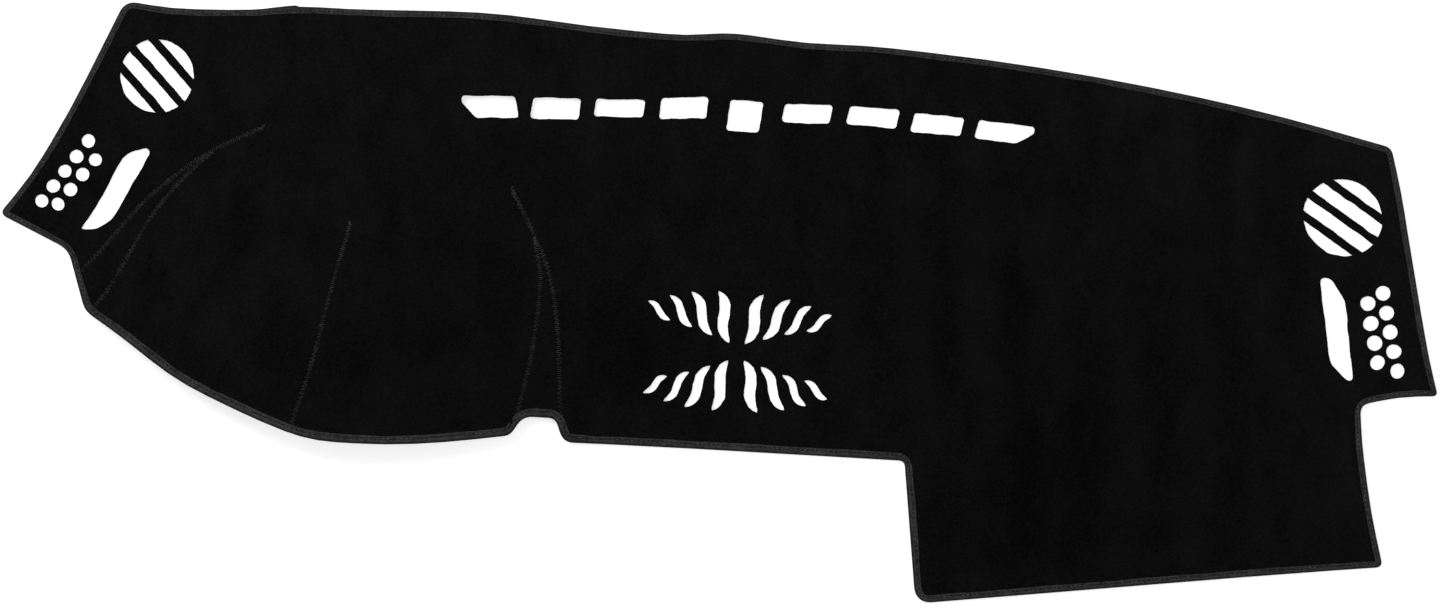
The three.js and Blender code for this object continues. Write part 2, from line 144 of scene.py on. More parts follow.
# The tape's joint at the windscreen edge, where one end lies over the other: where it is, how far it
# stands up and out, how long its rise is, and the shade at the cut end
LAP_X = (-456 * MM, -421.5 * MM)
LAP_RISE = 0.9 * MM
LAP_OVERHANG = 1.3 * MM
LAP_RUN = 26 * MM
LAP_SHADE_WIDTH = 1.6 * MM
LAP_SHADE = 0.9

# Pitch of the tape's weave, spacing of the stitches that hold the tape, its pucker between them,
# how many points of a seam's line the tack at its inner end takes, and the stitches' random seeds
WEAVE_PITCH = 1.05 * MM
STITCH_PITCH = 4.7 * MM
TAPE_PUCKER = 0.12 * MM
TACK_POINTS = 4
ANGLE_SEED = 3
SIZE_SEED = 11

# How far the threads lie from the tape's two faces and the fabric's, and how far they slant
TAPE_THREAD_SINK = 0.12 * MM
TAPE_THREAD_UNDER = 0.55 * MM
SEAM_THREAD_RISE = 0.45 * MM
SEAM_THREAD_UNDER = 0.1 * MM
TAPE_SLANT = math.radians(9)
SEAM_SLANT = math.radians(80)
TACK_SLANT = math.radians(25)

SEAMS = (
    "seam_driver_outer",
    "seam_driver_inner",
    "seam_dart",
    "seam_console_outer",
    "seam_console_inner",
)
FABRIC_NODES = ("mat_panel", "hood_gusset_driver", "hood_gusset_console")


# Reading the frame's solids

def solid_of(node):
    """A node's merged points and its triangles."""
    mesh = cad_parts[node].data
    mesh.calc_loop_triangles()
    points = np.zeros(len(mesh.vertices) * 3)
    mesh.vertices.foreach_get("co", points)
    corners = np.zeros(len(mesh.loop_triangles) * 3, int)
    mesh.loop_triangles.foreach_get("vertices", corners)
    points = points.reshape(-1, 3)
    _, first, merged = np.unique(
        np.round(points / MM, 3), axis=0, return_index=True, return_inverse=True
    )
    triangles = merged.ravel()[corners].reshape(-1, 3)
    whole = (
        (triangles[:, 0] != triangles[:, 1])
        & (triangles[:, 1] != triangles[:, 2])
        & (triangles[:, 2] != triangles[:, 0])
    )
    return points[first], triangles[whole]


def facing_up(points, triangles):
    """The triangles that make a solid's upward faces."""
    a, b, c = (points[triangles[:, k]] for k in range(3))
    normals = np.cross(b - a, c - a)
    size = np.linalg.norm(normals, axis=1)
    return triangles[normals[:, 2] > UPWARD * np.maximum(size, 1e-15)]


def rims_of(triangles):
    """The closed rims of a patch of triangles, as lists of points, with the patch on their left."""
    edges = set()
    for a, b, c in triangles.tolist():
        for start, end in ((a, b), (b, c), (c, a)):
            if (end, start) in edges:
                edges.remove((end, start))
            else:
                edges.add((start, end))
    following = dict(edges)
    rims = []
    while following:
        start, here = next(iter(following.items()))
        rim = [start]
        del following[start]
        while here != start:
            rim.append(here)
            here = following.pop(here)
        rims.append(rim)
    return rims


def top_rims(node):
    """The rims of a node's top face in plan, longest first."""
    points, triangles = solid_of(node)
    top = facing_up(points, triangles)
    rims = [points[rim] for rim in rims_of(top)]
    return sorted(rims, key=loop_length, reverse=True)


def loop_length(loop):
    return np.linalg.norm(np.roll(loop, -1, axis=0) - loop, axis=1).sum()


def lengths_along(line):
    """How far along an open line each of its points is."""
    return np.concatenate([[0], np.cumsum(np.linalg.norm(np.diff(line, axis=0), axis=1))])


def tree_of(plan):
    """A tree that finds the nearest one of some points of the plan."""
    tree = KDTree(len(plan))
    for i, (x, y) in enumerate(plan):
        tree.insert((x, y, 0), i)
    tree.balance()
    return tree


def resampled(loop, step, closed=True):
    """Evenly spaced points along a line, with its ends kept if it is open."""
    ends = np.vstack([loop, loop[:1]]) if closed else loop
    along = lengths_along(ends)
    count = max(8 if closed else 1, round(along[-1] / step))
    wanted = np.linspace(0, along[-1], count + 1)
    even = np.column_stack([np.interp(wanted, along, ends[:, k]) for k in range(ends.shape[1])])
    return even[:-1] if closed else even


def fine_rim(loop, step):
    """A closed loop in even steps, with its facets rounded off and its sharp corners kept."""
    loop = loop[np.linalg.norm(np.roll(loop, -1, axis=0) - loop, axis=1) > SHORT_SIDE]
    ahead = np.roll(loop, -1, axis=0) - loop
    heading = np.arctan2(ahead[:, 1], ahead[:, 0])
    turn = np.abs((heading - np.roll(heading, 1) + math.pi) % (2 * math.pi) - math.pi)
    sharp = np.flatnonzero(turn > SHARP_TURN)
    if len(sharp) == 0:
        fine = resampled(loop, step)
        kept = np.zeros(len(fine), bool)
    else:
        turned = np.roll(loop, -sharp[0], axis=0)
        stops = [*(sharp - sharp[0]), len(loop)]
        turned = np.vstack([turned, turned[:1]])
        sides = [resampled(turned[i: j + 1], step, closed=False)[:-1] for i, j in zip(stops, stops[1:])]
        fine = np.vstack(sides)
        kept = np.concatenate([np.arange(len(side)) == 0 for side in sides])
    for weight in EASING:
        bend = 0.5 * (np.roll(fine, 1, axis=0) + np.roll(fine, -1, axis=0)) - fine
        fine = fine + weight * bend * ~kept[:, None]
    return fine


def left_normals(loop):
    """Unit vectors to the left of a closed loop in plan, which is into the fabric."""
    ahead = np.roll(loop, -1, axis=0) - np.roll(loop, 1, axis=0)
    ahead /= np.linalg.norm(ahead, axis=1, keepdims=True)
    return np.column_stack([-ahead[:, 1], ahead[:, 0]])


# The level of the fabric over the plan

class Surface:
    """The height of the fabric's underside, smoothed from the frame's faceted sheet."""

    def __init__(self):
        points, faces = [], []
        for node in FABRIC_NODES:
            own, triangles = solid_of(node)
            faces += (facing_up(own, triangles) + len(points)).tolist()
            points += own.tolist()
        tree = BVHTree.FromPolygons(points, faces)
        margin = 2 * LEVEL_STEP
        self.x = np.arange(cad_low.x - margin, cad_high.x + margin, LEVEL_STEP)
        self.y = np.arange(cad_low.y - margin, cad_high.y + margin, LEVEL_STEP)
        down = Vector((0, 0, -1))
        level = np.zeros((len(self.x), len(self.y)))
        for i, x in enumerate(self.x):
            for j, y in enumerate(self.y):
                hit = tree.ray_cast(Vector((x, y, 1)), down)[0]
                if hit is None:
                    hit = tree.find_nearest(Vector((x, y, PILE_THICKNESS)))[0]
                level[i, j] = hit.z - PILE_THICKNESS
        reach = int(3 * LEVEL_SMOOTHING)
        kernel = np.exp(-0.5 * (np.arange(-reach, reach + 1) / LEVEL_SMOOTHING) ** 2)
        kernel /= kernel.sum()
        padded = np.pad(level, reach, mode="edge")
        for axis in (0, 1):
            padded = np.apply_along_axis(np.convolve, axis, padded, kernel, mode="valid")
        self.level = padded

    def __call__(self, plan):
        """The level under points of the plan, with the lie of the cloth."""
        u = np.clip((plan[:, 0] - self.x[0]) / LEVEL_STEP, 0, len(self.x) - 1.001)
        v = np.clip((plan[:, 1] - self.y[0]) / LEVEL_STEP, 0, len(self.y) - 1.001)
        i, j = u.astype(int), v.astype(int)
        u, v = u - i, v - j
        u, v = u * u * (3 - 2 * u) * 0.5 + u * 0.5, v * v * (3 - 2 * v) * 0.5 + v * 0.5
        low = self.level[i, j] * (1 - u) + self.level[i + 1, j] * u
        high = self.level[i, j + 1] * (1 - u) + self.level[i + 1, j + 1] * u
        return low * (1 - v) + high * v + cloth_lie(plan)


def window(value, low, high, fade):
    """1 between two limits, fading to 0 outside them."""
    rise = np.clip((value - low) / fade + 1, 0, 1)
    fall = np.clip((high - value) / fade + 1, 0, 1)
    return rise * rise * (3 - 2 * rise) * fall * fall * (3 - 2 * fall)


def ripple(plan):
    """The upright folds over the plan, from 0 in a trough to 1 on a crest."""
    x, y = plan[:, 0], plan[:, 1]
    sway = 7 * MM * np.sin(y / (85 * MM)) + 4 * MM * np.sin(y / (37 * MM) + 1)
    return 0.5 - 0.5 * np.cos(2 * math.pi * (x + sway - RIPPLE_TROUGH) / RIPPLE_PITCH)


def cloth_lie(plan):
    """How far the cloth stands up from its cut shape: folds, creases and a wavy windscreen edge."""
    x, y = plan[:, 0] / MM, plan[:, 1] / MM
    flap = window(x, 200, 540, 60) * window(y, -230, 90, 70)
    middle_part = 0.5 * window(x, -260, 140, 60) * window(y, -100, 120, 60)
    creases = 0.5 + 0.5 * np.sin((x * 0.8 + y * 0.35) / 26 + 1.2 * np.sin(y / 44))
    hood = window(x, -560, -230, 60) * window(y, -90, 70, 60)
    edge = 0.5 + 0.5 * np.sin(x / 34 + 0.7 * np.sin(x / 91))
    windscreen = window(y, 220, 330, 60) * window(x, -480, 520, 120)
    folds = RIPPLE_DEPTH * ripple(plan) * (flap + middle_part)
    return folds + MM * (1.3 * creases * hood + 1.2 * edge * windscreen)


def nap_and_fold_shade(plan):
    """How light the pile is painted over the plan: 0.5 is the middle tone. Patches in the nap, lighter
    towards the windscreen edge and at the right-hand end, with painted shade in the ripples' troughs and
    painted light on their crests.
    """
    x, y = plan[:, 0] / MM, plan[:, 1] / MM
    tone = np.full(len(plan), 0.47)
    tone += 0.06 * window(y + 0.00022 * np.maximum(x, 0) ** 2, 240, 600, 110)
    tone += 0.15 * window(x, 610, 900, 50)
    # Painted shade in the troughs of the ripples and painted light on their crests, following the folds in
    # the cloth's shape
    tone += 0.10 * (ripple(plan) - 0.5) * window(x, 100, 560, 60)
    for middle_x, middle_y, half_x, half_y, lighter in NAP_AND_FOLD_SHADE_MARKS:
        away = ((x - middle_x) / half_x) ** 2 + ((y - middle_y) / half_y) ** 2
        tone += 0.33 * lighter * np.exp(-(away ** 2) * 0.7)
    return np.clip(tone, 0, 1)


surface = Surface()


# Seam lines

def seam_line(node):
    """The middle line of a seam's strip of thread, from its inner end to the front edge."""
    rim = top_rims(node)[0]
    plan = rim[:, :2]
    gaps = np.linalg.norm(plan[:, None] - plan[None], axis=2)
    first, last = np.unravel_index(gaps.argmax(), gaps.shape)
    if plan[first, 1] < plan[last, 1]:
        first, last = last, first
    there = np.roll(plan, -first, axis=0)
    turn = (last - first) % len(plan)
    return middle(there[: turn + 1], np.vstack([there[turn:], there[:1]])[::-1])


def middle(left, right):
    """The line half way between two lines."""
    even = []
    for side in (left, right):
        along = lengths_along(side)
        wanted = np.linspace(0, along[-1], SEAM_POINTS)
        even.append(np.column_stack([np.interp(wanted, along, side[:, k]) for k in (0, 1)]))
    return (even[0] + even[1]) / 2


seam_lines = {node: seam_line(node) for node in SEAMS}


class SeamField:
    """How near points of the plan are to a seam, and how the cloth is drawn down there."""

    def __init__(self):
        lines = [resampled(line, SEAM_STEP, closed=False) for line in seam_lines.values()]
        self.points = np.vstack(lines)
        self.along = np.concatenate([np.arange(len(line)) * SEAM_STEP for line in lines])
        self.tree = tree_of(self.points)

    def distance(self, plan):
        """How far points of the plan are from the nearest seam."""
        return np.array([self.tree.find((x, y, 0))[2] for x, y in plan])

    def __call__(self, plan):
        """The shift of the cloth's top at points of the plan."""
        shift = np.zeros(len(plan))
        for i, (x, y) in enumerate(plan):
            _, nearest, distance = self.tree.find((x, y, 0))
            if distance < SEAM_REACH:
                pucker = 1 + PUCKER_DEPTH * math.sin(2 * math.pi * self.along[nearest] / PUCKER_PITCH)
                valley = math.exp(-((distance / SEAM_HALF_WIDTH) ** 2))
                puff = math.exp(-(((distance - 8 * MM) / (4 * MM)) ** 2))
                shift[i] = (SEAM_PUFF * puff - SEAM_DEPTH * valley) * pucker
        return shift


seam_field = SeamField()


# Fabric pieces

def inside(points, rims):
    """Whether points of the plan lie inside a piece's rims, by the even-odd rule."""
    within = np.zeros(len(points), bool)
    x, y = points[:, 0], points[:, 1]
    for rim in rims:
        for (x0, y0), (x1, y1) in zip(rim, np.roll(rim, -1, axis=0)):
            if y0 == y1:
                continue
            crosses = (y0 > y) != (y1 > y)
            within ^= crosses & (x < (x1 - x0) * (y - y0) / (y1 - y0) + x0)
    return within


def field_points(low, high):
    """A grid of triangles' corners over a box of the plan."""
    rows = np.arange(low[1], high[1], FIELD_STEP * math.sqrt(3) / 2)
    grid = []
    for k, y in enumerate(rows):
        start = low[0] + (FIELD_STEP / 2 if k % 2 else 0)
        xs = np.arange(start, high[0], FIELD_STEP)
        grid.append(np.column_stack([xs, np.full(len(xs), y)]))
    return np.vstack(grid)


def seam_rows():
    """Points along every seam and beside it."""
    rows = []
    for line in seam_lines.values():
        even = resampled(line, 3 * MM, closed=False)
        ahead = np.gradient(even, axis=0)
        ahead /= np.linalg.norm(ahead, axis=1, keepdims=True)
        normal = np.column_stack([-ahead[:, 1], ahead[:, 0]])
        for gap in SEAM_ROWS:
            for side in ((1, -1) if gap else (1,)):
                rows.append(even + normal * gap * side)
    return np.vstack(rows)


def spaced(points, taken, gap):
    """The points that lie further than a gap from those taken."""
    tree = tree_of(taken)
    return points[[tree.find((x, y, 0))[2] > gap for x, y in points]]


def wander(random, count):
    """Smooth random values round a closed loop, with a spread of about 1."""
    reach = 4
    kernel = np.exp(-0.5 * (np.arange(-reach, reach + 1) / 2) ** 2)
    kernel /= math.sqrt((kernel ** 2).sum())
    values = random.standard_normal(count)
    return np.convolve(np.concatenate([values[-reach:], values, values[:reach]]), kernel, "valid")


def cut_rims(node, random):
    """A piece's rims as the fabric is cut: a little uneven, and pressed together at the seams."""
    rims = []
    for rim in top_rims(node):
        even = fine_rim(rim[:, :2], EDGE_STEP)
        at_seam = np.clip(2 - seam_field.distance(even) / MM, 0, 1)
        uneven = RAGGED_EDGE * random.standard_normal(len(even))
        uneven += UNEVEN_CUT * wander(random, len(even))
        shift = SEAM_PRESS * at_seam + uneven * (1 - at_seam)
        rims.append(even - left_normals(even) * shift[:, None])
    return rims


def fabric_piece(node):
    """A closed sheet of fabric over a node's plan, with soft cut edges."""
    rims = cut_rims(node, np.random.default_rng(len(node)))
    rim_points = np.vstack(rims)
    edge_rows = [np.vstack([rim + left_normals(rim) * gap for rim in rims]) for gap in EDGE_ROWS]
    seam_points = spaced(seam_rows(), np.vstack([rim_points, *edge_rows]), SEAM_POINT_GAP)
    near = np.vstack([rim_points, *edge_rows, seam_points])
    field = spaced(field_points(rim_points.min(0), rim_points.max(0)), near, FIELD_GAP)
    inner = np.vstack([*edge_rows, seam_points, field])
    inner = inner[inside(inner, rims)]

    # A rim is nearer than the nearest of its points, which are a step apart
    tree = tree_of(rim_points)
    nearest = np.array([tree.find((x, y, 0))[2] for x, y in inner])
    gap = np.sqrt(np.maximum(nearest ** 2 - BESIDE_POINT ** 2, LEAST_GAP ** 2))
    gap_to_rim = np.concatenate([np.zeros(len(rim_points)), gap])

    plan = np.vstack([rim_points, inner])
    edges, start = [], 0
    for rim in rims:
        edges += [(start + k, start + (k + 1) % len(rim)) for k in range(len(rim))]
        start += len(rim)
    origin = plan.mean(0)
    made = delaunay_2d_cdt([Vector(p) for p in (plan - origin) / MM], edges, [], 0, 1e-4)
    corners = np.array([list(v) for v in made[0]]) * MM + origin
    triangles = np.array(made[2])
    sources = np.array([ids[0] if ids else -1 for ids in made[3]])
    triangles = triangles[inside(corners[triangles].mean(1), rims)]
    gaps = np.where(sources >= 0, gap_to_rim[sources], 0)

    # A triangle with all three corners on a rim has no thickness, so it is left out
    triangles = triangles[(gaps[triangles] > 0).any(axis=1)]

    reach = EDGE_ROWS[-1]
    bulge = np.sqrt(1 - (1 - np.clip(gaps / reach, 0, 1)) ** 2)
    level = surface(corners)
    shift = seam_field(corners)
    middle_height = EDGE_MIDDLE * PILE_THICKNESS
    top = level + middle_height + (PILE_THICKNESS - middle_height) * bulge + shift * bulge
    bottom = level + middle_height * (1 - bulge)
    used = np.unique(triangles)
    on_rim = np.isin(used, np.where(gaps == 0)[0])
    top_index = np.full(len(corners), -1)
    top_index[used] = np.arange(len(used))
    bottom_index = top_index.copy()
    bottom_index[used[~on_rim]] = len(used) + np.arange((~on_rim).sum())
    points = np.vstack([
        np.column_stack([corners[used], top[used]]),
        np.column_stack([corners[used[~on_rim]], bottom[used[~on_rim]]]),
    ])
    faces = np.vstack([top_index[triangles], bottom_index[triangles][:, ::-1]])
    piece = mesh_object(node + "_cloth", points, faces.tolist())
    underside = np.zeros(len(points), np.float32)
    underside[len(used):] = 1
    add_value(piece, "underside", underside)
    # Tone of the pile over the plan: nap patches, with painted shade in the ripples' troughs and painted
    # light on their crests
    add_value(piece, "nap_and_fold_shade", nap_and_fold_shade(points[:, :2]).astype(np.float32))
    return piece


def mesh_object(name, points, faces):
    mesh = bpy.data.meshes.new(name)
    mesh.from_pydata([tuple(p) for p in points], [], faces)
    mesh.update()
    mesh.shade_smooth()
    piece = bpy.data.objects.new(name, mesh)
    bpy.context.scene.collection.objects.link(piece)
    return piece


def add_value(piece, name, values):
    piece.data.attributes.new(name, "FLOAT", "POINT").data.foreach_set("value", values)


# Edge tape

def tape_lines():
    """The tape's outer edge, and for each of its points the inner edge's point across from it."""
    rims = [rim[:, :2] for rim in top_rims("edge_binding")]
    outer = fine_rim(rims[0], TAPE_STEP)
    rings = [resampled(rim, RING_STEP) for rim in rims if area_of(rim) * area_of(rims[0]) < 0]
    misfit = [abs(np.linalg.norm(ring - outer[0], axis=1).min() - TAPE_WIDTH) for ring in rings]
    ring = rings[int(np.argmin(misfit))]
    tree = tree_of(ring)
    across = ring[[tree.find((x, y, 0))[1] for x, y in outer]] - outer
    shares = np.array([1, 2, 3, 2, 1]) / 9
    eased = sum(share * np.roll(across, k - 2, axis=0) for k, share in enumerate(shares))
    return outer, outer + eased * tape_cover(outer)[:, None]


def area_of(loop):
    x, y = loop[:, 0], loop[:, 1]
    return 0.5 * (x * np.roll(y, -1) - np.roll(x, -1) * y).sum()


def tape_cover(plan):
    """How wide the tape is over its middle width: widest along the hood, narrow at both ends."""
    x, y = plan[:, 0] / MM, plan[:, 1] / MM
    front = window(-y, 30, 700, 60) * window(-x, -600, 1000, 60)
    hood = front * window(-x, 170, 1000, 60)
    console = front * window(x, -150, 180, 30)
    left = window(-x, 100, 560, 100)
    return 0.78 + 0.12 * front + 0.18 * hood + 0.09 * console + 0.05 * left * (1 - front)


def tape_section():
    """The folded tape's section, going round from the inner top edge: distance from the outer edge, height
    over the fabric's underside, and how light the tape is painted there: lighter on its raised ridges, with
    painted shade in the groove at the stitch line, at the inner edge against the fabric and round the outer
    side of the roll."""
    top = PILE_THICKNESS + TAPE_STANDOFF
    bottom = -TAPE_STANDOFF
    wall = 0.8 * MM
    roll = 2.4 * MM
    # Along the top the tape is lighter on its raised ridges, with painted shade at its inner edge against
    # the fabric and in the groove at the stitch line
    rows = [
        (TAPE_WIDTH, top - wall, 0.2),
        (TAPE_WIDTH, top - 0.35 * MM, 0.35),
        (TAPE_WIDTH - 0.5 * MM, top, 0.75),
        (STITCH_LINE + 1.3 * MM, top + 0.1 * MM, 0.8),
        (STITCH_LINE + 0.5 * MM, top - 0.35 * MM, 0.0),
        (STITCH_LINE - 0.5 * MM, top - 0.35 * MM, 0.0),
        (STITCH_LINE - 1.3 * MM, top + 0.15 * MM, 0.85),
        (roll + 0.6 * MM, top + 0.3 * MM, 1.0),
    ]
    middle_height = (top + bottom) / 2
    # Round the roll's outer side, below its top, the tape is given painted shade
    for k in range(9):
        angle = math.pi * (0.5 + k / 8)
        rise = (top - middle_height) * math.sin(angle)
        shade = (0.65, 0.1, 0.0)[min(k, 2)]
        rows.append((roll + roll * math.cos(angle), middle_height + rise, shade))
    rows += [
        (STITCH_LINE - 1.3 * MM, bottom, 0.8),
        (STITCH_LINE - 0.5 * MM, bottom + 0.6 * MM, 0.0),
        (STITCH_LINE + 0.5 * MM, bottom + 0.6 * MM, 0.0),
        (STITCH_LINE + 1.3 * MM, bottom, 0.8),
        (TAPE_WIDTH - 0.5 * MM, bottom, 0.8),
        (TAPE_WIDTH, bottom + 0.35 * MM, 0.5),
        (TAPE_WIDTH, bottom + wall, 0.3),
        (roll * 0.6, bottom + wall, 0.2),
        (roll * 0.6, top - wall, 0.2),
    ]
    return np.array(rows)


def near_windscreen(plan):
    """Whether points of the plan are in the quarter of the mat along the windscreen edge."""
    return plan[:, 1] > 0.5 * cad_high.y


def lap(plan):
    """1 where the tape's end lies over its beginning."""
    x = plan[:, 0]
    rise = np.clip((x - LAP_X[0]) / LAP_RUN, 0, 1)
    return np.where(near_windscreen(plan) & (x < LAP_X[1]), rise, 0)


def tape_piece(outer, inner):
    """The tape, swept round the edge with its section between the outer and inner edges."""
    section = tape_section()
    steps = lengths_along(outer)
    lapped = lap(outer)
    level = surface(outer + (inner - outer) * 0.5)
    waver = 0.25 * MM * np.sin(steps / (17 * MM)) + 0.15 * MM * np.sin(steps / (7.3 * MM) + 1)
    pucker = TAPE_PUCKER * np.sin(2 * math.pi * steps / STITCH_PITCH)
    width = np.linalg.norm(inner - outer, axis=1)
    across = (inner - outer) / width[:, None]
    middle_height = PILE_THICKNESS / 2
    points = []
    for distance, height, _ in section:
        share = distance / TAPE_WIDTH
        raised = height + np.sign(height - middle_height) * pucker * (share > 0.3)
        if height > middle_height:
            raised = raised + lapped * LAP_RISE
        inwards = share * (width + waver) - lapped * (1 - share) * LAP_OVERHANG
        lowest = level - TAPE_STANDOFF + FLOOR_CLEARANCE
        place = outer + across * inwards[:, None]
        points.append(np.column_stack([place, np.maximum(level + raised, lowest)]))
    count, rows = len(outer), len(section)
    points = np.stack(points, axis=1).reshape(-1, 3)
    faces = []
    for i in range(count):
        here, there = i * rows, ((i + 1) % count) * rows
        for k in range(rows):
            follow = (k + 1) % rows
            faces.append((here + k, here + follow, there + follow, there + k))
    piece = mesh_object("edge_tape", points, faces)
    around = lengths_along(section[:, :2])
    add_value(piece, "along", np.repeat(steps, rows).astype(np.float32))
    add_value(piece, "around", np.tile(around, count).astype(np.float32))
    # Painted shade in a line across the tape at the cut end of the lap, over the section's painted shade in
    # its folds
    cut_end = np.exp(-(((outer[:, 0] - LAP_X[1]) / LAP_SHADE_WIDTH) ** 2)) * near_windscreen(outer)
    ridge_tone_and_fold_shade = section[None, :, 2] * (1 - LAP_SHADE * cut_end[:, None])
    add_value(piece, "ridge_tone_and_fold_shade", ridge_tone_and_fold_shade.ravel().astype(np.float32))
    return piece


# Stitches

def stitch_tree():
    """A tree that sets a row of thread stitches along a line."""
    tree = bpy.data.node_groups.new("Stitches", "GeometryNodeTree")
    tree.interface.new_socket("Geometry", in_out="INPUT", socket_type="NodeSocketGeometry")
    for name in ("Pitch", "Length", "Width", "Height", "Jitter", "Unevenness"):
        tree.interface.new_socket(name, in_out="INPUT", socket_type="NodeSocketFloat")
    tree.interface.new_socket("Material", in_out="INPUT", socket_type="NodeSocketMaterial")
    tree.interface.new_socket("Geometry", in_out="OUTPUT", socket_type="NodeSocketGeometry")

    def node(kind, settings=None, **links):
        made = tree.nodes.new(kind)
        for name, value in (settings or {}).items():
            setattr(made, name, value)
        for name, value in links.items():
            numbered = name[0] == "n" and name[1:].isdigit()
            socket = made.inputs[int(name[1:]) if numbered else name]
            if isinstance(value, bpy.types.NodeSocket):
                tree.links.new(value, socket)
            else:
                socket.default_value = value
        return made

    given = node("NodeGroupInput").outputs
    line = node("GeometryNodeMeshToCurve", Mesh=given["Geometry"]).outputs[0]
    pitch = given["Pitch"]
    even = node("GeometryNodeResampleCurve", {"mode": "LENGTH"}, Curve=line, Length=pitch).outputs[0]
    tangent = node("GeometryNodeInputTangent").outputs[0]
    up = node("GeometryNodeInputNamedAttribute", {"data_type": "FLOAT_VECTOR"}, Name="up").outputs[0]
    along = node("FunctionNodeAlignRotationToVector", {"axis": "X"}, Vector=tangent).outputs[0]
    upright = node(
        "FunctionNodeAlignRotationToVector", {"axis": "Z", "pivot_axis": "X"}, Rotation=along, Vector=up
    ).outputs[0]
    index = node("GeometryNodeInputIndex").outputs[0]
    parity = node("ShaderNodeMath", {"operation": "MODULO"}, n0=index, n1=2.0).outputs[0]
    hand = node("ShaderNodeMath", {"operation": "MULTIPLY_ADD"}, n0=parity, n1=2.0, n2=-1.0).outputs[0]
    slant = node("GeometryNodeInputNamedAttribute", {"data_type": "FLOAT"}, Name="slant").outputs[0]
    lean = node("ShaderNodeMath", {"operation": "MULTIPLY"}, n0=hand, n1=slant).outputs[0]
    back = node("ShaderNodeMath", {"operation": "MULTIPLY"}, n0=given["Jitter"], n1=-1.0).outputs[0]
    stray = node(
        "FunctionNodeRandomValue", {"data_type": "FLOAT"}, n2=back, n3=given["Jitter"], Seed=ANGLE_SEED
    ).outputs[1]
    angle = node("ShaderNodeMath", {"operation": "ADD"}, n0=lean, n1=stray).outputs[0]
    turn = node("ShaderNodeCombineXYZ", Z=angle).outputs[0]
    spin = node("FunctionNodeEulerToRotation", n0=turn).outputs[0]
    turned = node("FunctionNodeRotateRotation", {"rotation_space": "LOCAL"}, n0=upright, n1=spin).outputs[0]
    ball = node("GeometryNodeMeshUVSphere", Segments=7, Rings=5, Radius=0.5).outputs[0]
    lying = node("GeometryNodeTransform", Geometry=ball, Rotation=(0, math.pi / 2, 0)).outputs[0]
    size = node("ShaderNodeCombineXYZ", X=given["Length"], Y=given["Width"], Z=given["Height"]).outputs[0]
    stitch = node("GeometryNodeTransform", Geometry=lying, Scale=size).outputs[0]
    least = node("ShaderNodeMath", {"operation": "SUBTRACT"}, n0=1.0, n1=given["Unevenness"]).outputs[0]
    most = node("ShaderNodeMath", {"operation": "ADD"}, n0=1.0, n1=given["Unevenness"]).outputs[0]
    swell = node(
        "FunctionNodeRandomValue", {"data_type": "FLOAT"}, n2=least, n3=most, Seed=SIZE_SEED
    ).outputs[1]
    row = node(
        "GeometryNodeInstanceOnPoints", Points=even, Instance=stitch, Rotation=turned, Scale=swell
    ).outputs[0]
    real = node("GeometryNodeRealizeInstances", Geometry=row).outputs[0]
    finished = node("GeometryNodeSetMaterial", Geometry=real, Material=given["Material"]).outputs[0]
    node("NodeGroupOutput", Geometry=finished)
    return tree


def stitches(name, lines, closed, material, **sizes):
    """Stitches along lines, as a plain mesh. A line is points, their up directions, and how far its
    stitches slant to one side and the other in turn."""
    points, ups, slants, edges = [], [], [], []
    for line, up, slant in lines:
        start, count = len(points), len(line)
        points += line.tolist()
        ups += up.tolist()
        slants += [slant] * count
        edges += [(start + k, start + (k + 1) % count) for k in range(count if closed else count - 1)]
    mesh = bpy.data.meshes.new(name + "_line")
    mesh.from_pydata(points, edges, [])
    mesh.attributes.new("up", "FLOAT_VECTOR", "POINT").data.foreach_set("vector", np.ravel(ups))
    mesh.attributes.new("slant", "FLOAT", "POINT").data.foreach_set("value", slants)
    path = bpy.data.objects.new(name + "_line", mesh)
    bpy.context.scene.collection.objects.link(path)
    modifier = path.modifiers.new("Stitches", "NODES")
    modifier.node_group = STITCHES
    given = {**sizes, "Material": material}
    for item in STITCHES.interface.items_tree:
        if item.in_out == "INPUT" and item.name in given:
            modifier[item.identifier] = given[item.name]
    evaluated = path.evaluated_get(bpy.context.evaluated_depsgraph_get())
    made = bpy.data.meshes.new_from_object(evaluated)
    bpy.data.objects.remove(path)
    made.name = name
    made.shade_smooth()
    piece = bpy.data.objects.new(name, made)
    bpy.context.scene.collection.objects.link(piece)
    return piece


def tape_stitch_lines(outer, inner):
    """The line of stitches on the tape's top, and the one on its underside."""
    share = STITCH_LINE / TAPE_WIDTH
    plan = outer + (inner - outer) * share
    level = surface(outer + (inner - outer) * 0.5)
    top = level + PILE_THICKNESS + TAPE_STANDOFF - TAPE_THREAD_SINK + lap(outer) * LAP_RISE
    bottom = level - TAPE_STANDOFF + TAPE_THREAD_UNDER
    up = np.tile([0.0, 0.0, 1.0], (len(plan), 1))
    return [(np.column_stack([plan, height]), up, TAPE_SLANT) for height in (top, bottom)]


def seam_stitch_lines(line):
    """A seam's line on the fabric, in the valley that its stitches draw: for the threads that cross
    it, for the tack at its inner end, which leans less, and for the threads on the underside."""
    step = 2 * MM
    plan = resampled(line, step, closed=False)
    height = surface(plan) + PILE_THICKNESS + seam_field(plan) + SEAM_THREAD_RISE
    slope = [(surface(plan + np.array(d) * step) - surface(plan - np.array(d) * step)) / (2 * step)
             for d in ((1, 0), (0, 1))]
    up = np.column_stack([-slope[0], -slope[1], np.ones(len(plan))])
    points = np.column_stack([plan, height])
    up /= np.linalg.norm(up, axis=1, keepdims=True)
    tack = (points[:TACK_POINTS], up[:TACK_POINTS], TACK_SLANT)
    under = np.column_stack([plan, surface(plan) + SEAM_THREAD_UNDER])
    return [(points, up, SEAM_SLANT), tack, (under, up, SEAM_SLANT)]


# Shaders

